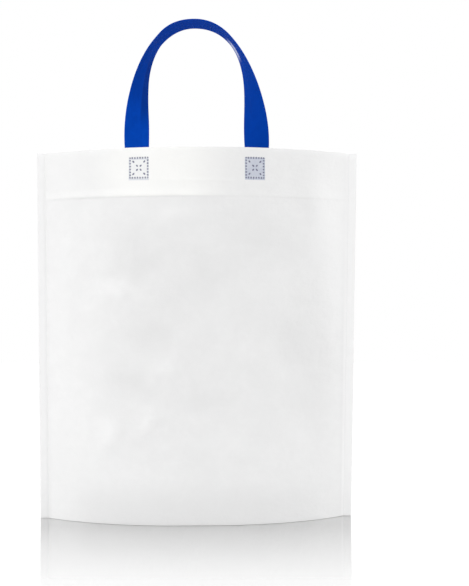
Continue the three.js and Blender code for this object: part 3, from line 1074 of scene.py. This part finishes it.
def weld_layout():
    """The marks of one weld as (across, up, direction): a rectangle with a cross inside."""
    marks = []
    half_width, half_height = WELD_WIDTH / 2, WELD_HEIGHT / 2
    corner = math.atan2(half_height, half_width)
    for place in (-1, 1):
        for share in np.linspace(-1, 1, MARKS_PER_SIDE)[1:-1]:
            fan = place * share * MARK_FAN
            marks.append((share * half_width, place * half_height, math.pi / 2 - fan))
            marks.append((place * half_width, share * half_height, fan))
        for slant in (corner, -corner):
            up = math.copysign(half_height, slant)
            marks.append((place * half_width, place * up, slant))
            for i in range(MARKS_PER_ARM):
                share = place * (i + 0.5) / (MARKS_PER_ARM + 0.5)
                marks.append((share * half_width, share * up, slant))
    return marks


def laid_mark(side, facing, across, height, layer, direction=0.0):
    """A mark's point and angles on this layer; its length lies at this direction from sideways."""

    def at(right, up):
        return panel_point(side, across + right, height + up, layer)

    near = 0.001
    sideways = (at(near, 0) - at(-near, 0)).normalized()
    upwards = at(0, near) - at(0, -near)
    normal = sideways.cross(upwards).normalized() * facing
    upright = normal.cross(sideways)
    length = sideways * math.cos(direction) + upright * math.sin(direction)
    width = normal.cross(length)
    return at(0, 0), Matrix((length, width, normal)).transposed().to_euler()


def weld_places(side, on_strap):
    """The marks of a panel's two welds: outside it, or on the straps that face the inside."""
    places = []
    for edge in (LEFT, RIGHT):
        for right, up, direction in weld_layout():
            across, height = edge * WELD_MIDDLE + right, WELD_LEVEL + up
            if on_strap:
                facing, layer = side, HANDLE_LAYER - HANDLE_THICKNESS / 2
            else:
                pressed = WELD_PRESS * in_weld(across, height)
                facing, layer = -side, PANEL_LAYER + CLOTH / 2 - pressed
            places.append(laid_mark(side, facing, across, height, layer, direction))
    return places


def bar_places():
    """The short bars pressed across each side weld, outside the front and the back panel."""
    layer = PANEL_LAYER * (1 - SEAL_SQUEEZE) + CLOTH / 2
    return [
        laid_mark(side, -side, edge * SEAM, height, layer)
        for side in (FRONT, BACK)
        for edge in (LEFT, RIGHT)
        for height in np.arange(FIRST_BAR, LAST_BAR, BAR_PITCH)
    ]


# ---- The pieces ----
white = white_cloth()
blue = blue_cloth()

body_mesh, web_length = web_mesh("bag_web")
bag = piece_of("bag_web", body_mesh, white)
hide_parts("bag_body")

front_mesh, front_length = strap_mesh("front_strap", front_rows())
front_strap = piece_of("front_strap", front_mesh, blue)
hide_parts("front_handle")

rear_mesh, rear_length = strap_mesh("rear_strap", rear_rows())
rear_strap = piece_of("rear_strap", rear_mesh, blue)
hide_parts("rear_handle")

tinted = melted_film("tinted_weld_film", (0.09, 0.094, 0.155, 1), (0.18, 0.185, 0.28, 1), 0.45)
pale = melted_film("pale_weld_film", (0.70, 0.70, 0.71, 1), (0.77, 0.77, 0.775, 1), 0.55)
deep = melted_film("deep_weld_film", (0.001, 0.018, 0.19, 1), (0.002, 0.032, 0.30, 1), 0.36)

tree = marks_tree()
outer = weld_places(FRONT, False) + weld_places(BACK, False)
inner = weld_places(FRONT, True) + weld_places(BACK, True)
bars = bar_places()
weld_marks = pressed_marks("weld_marks", tree, outer, MARK_SIZE, 11, tinted)
strap_marks = pressed_marks("strap_marks", tree, inner, MARK_SIZE, 12, deep)
side_bars = pressed_marks("side_weld_bars", tree, bars, BAR_SIZE, 13, pale)


# ---- Floor, light and camera ----
# The floor is white to the eye. The bag's mirror image in it fades away from the bag's foot, and
# MIRROR_WHITE is the white that the floor's gloss sees round the bag.
FLOOR_HALF = 6
FLOOR_TONE = 0.82
FLOOR_GLOW, GLOW_SHARE = 1.08, 0.88
FOOTPRINT = (0.19, 0.05, 0.0)
MIRROR_DEPTH = 0.80
MIRROR_REACH = 0.34
MIRROR_FALL = 1.1
MIRROR_ROUGHNESS = 0.05
MIRROR_WHITE = 1.35
SURROUND_LIGHT = 0.70

# Each lamp: its name, place and aim, the length of its side, and its power in watts
LAMPS = (
    ("left_lamp", (-1.5, -0.9, 0.9), (0, 0, 0.25), 0.9, 6.0),
    ("right_lamp", (1.5, -0.7, 0.8), (0, 0, 0.25), 0.9, 1.6),
    ("left_rim_lamp", (-1.6, 0.16, 0.8), (0, 0, 0.32), 0.6, 6.8),
    ("right_rim_lamp", (1.4, 0.20, 1.15), (0, 0, 0.42), 0.4, 9.0),
    ("top_lamp", (0, -0.3, 1.9), (0, 0, 0.2), 1.2, 15.0),
)

CAMERA_PLACE = (0, -1.077, BAG_HEIGHT / 2)
CAMERA_SENSOR = 36
CAMERA_LENS = 57.26
CAMERA_SHIFT = (0.0643, 0.0717)


def floor_material():
    """White, with the bag's shadow and its fading mirror image.

    What the gloss sees of the white surround is taken off again, so only the bag shows in it.
    """
    material = bpy.data.materials.new("white_floor")
    material.use_nodes = True
    material.node_tree.nodes.clear()
    add = partial(add_node, material.node_tree)

    def reckon(operation, first, second):
        return add("ShaderNodeMath", {0: first, 1: second}, operation=operation).outputs[0]

    def reckon_vector(operation, first, second=(0, 0, 0)):
        return add("ShaderNodeVectorMath", {0: first, 1: second}, operation=operation).outputs

    def emission(strength):
        return add("ShaderNodeEmission", {"Color": grey(1), "Strength": strength}).outputs[0]

    apart = reckon_vector("ABSOLUTE", add("ShaderNodeTexCoord").outputs["Object"])[0]
    apart = reckon_vector("MAXIMUM", reckon_vector("SUBTRACT", apart, FOOTPRINT)[0])[0]
    away = reckon_vector("LENGTH", apart)["Value"]

    path = add("ShaderNodeLightPath").outputs
    seen = reckon("MAXIMUM", path["Is Camera Ray"], path["Is Glossy Ray"])
    seen = reckon("MAXIMUM", seen, path["Is Transmission Ray"])
    diffuse = add("ShaderNodeBsdfDiffuse", {"Color": grey(FLOOR_TONE)}).outputs[0]
    inputs = {0: reckon("MULTIPLY", seen, GLOW_SHARE), 1: diffuse, 2: emission(FLOOR_GLOW)}
    ground = add("ShaderNodeMixShader", inputs).outputs[0]

    gone = reckon("POWER", reckon("DIVIDE", away, MIRROR_REACH), MIRROR_FALL)
    left = reckon("MAXIMUM", reckon("SUBTRACT", 1.0, gone), 0.0)
    depth = reckon("MULTIPLY", reckon("MULTIPLY", left, MIRROR_DEPTH), path["Is Camera Ray"])
    mirror = add("ShaderNodeBsdfGlossy", {"Color": depth, "Roughness": MIRROR_ROUGHNESS})
    white_taken = emission(reckon("MULTIPLY", depth, -MIRROR_WHITE))
    image = add("ShaderNodeAddShader", {0: mirror.outputs[0], 1: white_taken}).outputs[0]
    surface = add("ShaderNodeAddShader", {0: ground, 1: image}).outputs[0]
    add("ShaderNodeOutputMaterial", {"Surface": surface})
    return material


def pale_floor():
    mesh = bpy.data.meshes.new("floor")
    corners = [(-1, -1), (1, -1), (1, 1), (-1, 1)]
    points = [(FLOOR_HALF * x, FLOOR_HALF * y, 0) for x, y in corners]
    mesh.from_pydata(points, [], [(0, 1, 2, 3)])
    mesh.materials.append(floor_material())
    in_scene("floor", mesh)


def white_surround():
    """White to the eye all round, dimmer as a light, and brighter in the floor's gloss."""
    world = bpy.data.worlds.new("studio")
    bpy.context.scene.world = world
    world.use_nodes = True
    world.node_tree.nodes.clear()
    add = partial(add_node, world.node_tree)
    path = add("ShaderNodeLightPath").outputs

    def white_of(strength):
        return add("ShaderNodeBackground", {"Color": grey(1), "Strength": strength}).outputs[0]

    def instead(share, first, second):
        return add("ShaderNodeMixShader", {0: share, 1: first, 2: second}).outputs[0]

    light = instead(path["Is Glossy Ray"], white_of(SURROUND_LIGHT), white_of(MIRROR_WHITE))
    surface = instead(path["Is Camera Ray"], light, white_of(1.0))
    surface = instead(path["Is Transmission Ray"], surface, white_of(1.0))
    add("ShaderNodeOutputWorld", {"Surface": surface})


def soft_lamp(name, place, aim, size, power):
    lamp = bpy.data.lights.new(name, "AREA")
    lamp.shape = "SQUARE"
    lamp.size = size
    lamp.energy = power
    stand = in_scene(name, lamp)
    stand.location = place
    stand.rotation_euler = (Vector(aim) - Vector(place)).to_track_quat("-Z", "Y").to_euler()
    stand.visible_camera = False


def camera():
    """At the photograph's angle: level, in front, at half the bag's height."""
    lens = bpy.data.cameras.new("camera")
    lens.sensor_width = CAMERA_SENSOR
    lens.lens = CAMERA_LENS
    lens.shift_x, lens.shift_y = CAMERA_SHIFT
    stand = in_scene("camera", lens)
    stand.location = CAMERA_PLACE
    stand.rotation_euler = (math.pi / 2, 0, 0)
    bpy.context.scene.camera = stand


pale_floor()
white_surround()
for lamp in LAMPS:
    soft_lamp(*lamp)
camera()
bpy.context.scene.view_settings.view_transform = "Standard"
